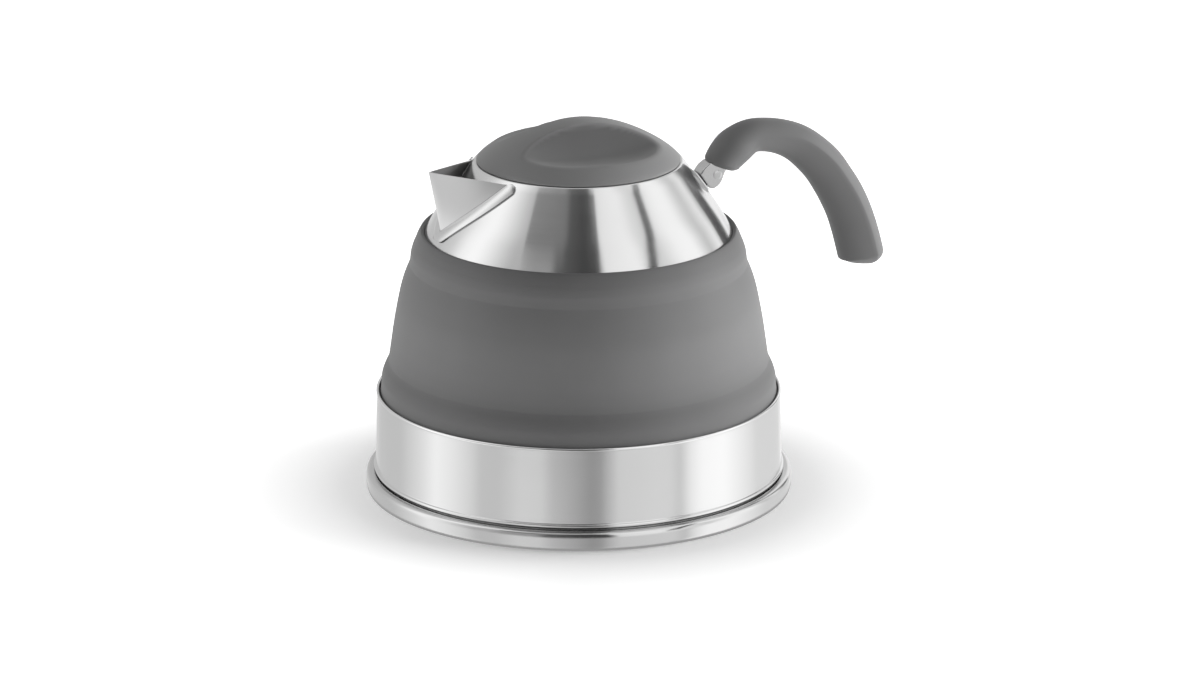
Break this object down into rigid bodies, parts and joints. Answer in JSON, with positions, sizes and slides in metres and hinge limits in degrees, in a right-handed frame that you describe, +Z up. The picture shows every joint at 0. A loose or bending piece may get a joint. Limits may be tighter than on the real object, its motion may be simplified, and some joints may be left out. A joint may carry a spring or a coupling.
{
  "type": "collapsible kettle",
  "caption": "Collapsible kettle: steel base and shoulder joined by a silicone sleeve that folds into the base, with a V spout, an arched handle and a lift-off lid.",
  "frame": {"origin": "centre of the flat underside of the base", "axes": "+Z up along the kettle's axis and the collapse, +X towards the handle, -X towards the spout"},
  "size_m": [0.2418, 0.19, 0.1685],
  "materials": {
    "cap_steel": "polished",
    "body_steel": "satin",
    "spout_steel": "satin",
    "spreader_aluminium": "plain",
    "sleeve_silicone": "matt",
    "grip_silicone": "matt",
    "nylon": "matt"
  },
  "bodies": {
    "base": {"base_cap": "cap_steel", "base_cup": "body_steel", "heat_spreader": "spreader_aluminium", "lower_clamp_ring": "body_steel", "sleeve_lower_collar": "sleeve_silicone", "sleeve_wall": "sleeve_silicone"},
    "shoulder": {"shoulder_cone": "body_steel", "upper_clamp_ring": "body_steel", "sleeve_upper_collar": "sleeve_silicone", "spout": "spout_steel", "handle_bracket": "spout_steel", "handle_core": "body_steel", "handle_grip": "grip_silicone", "handle_rivet": "spout_steel"},
    "lid": {"lid_cover": "grip_silicone", "lid_core": "nylon", "lid_pan": "body_steel", "lid_seal": "grip_silicone", "lid_screw": "spout_steel"}
  },
  "joints": [
    {"name": "collapse", "type": "slide", "parent": "base", "child": "shoulder", "axis": [0, 0, 1], "range_m": [-0.078, 0], "deforming": ["sleeve_wall"]},
    {"name": "lid_lift", "type": "slide", "parent": "shoulder", "child": "lid", "axis": [0, 0, 1], "range_m": [0, 0.06]}
  ]
}
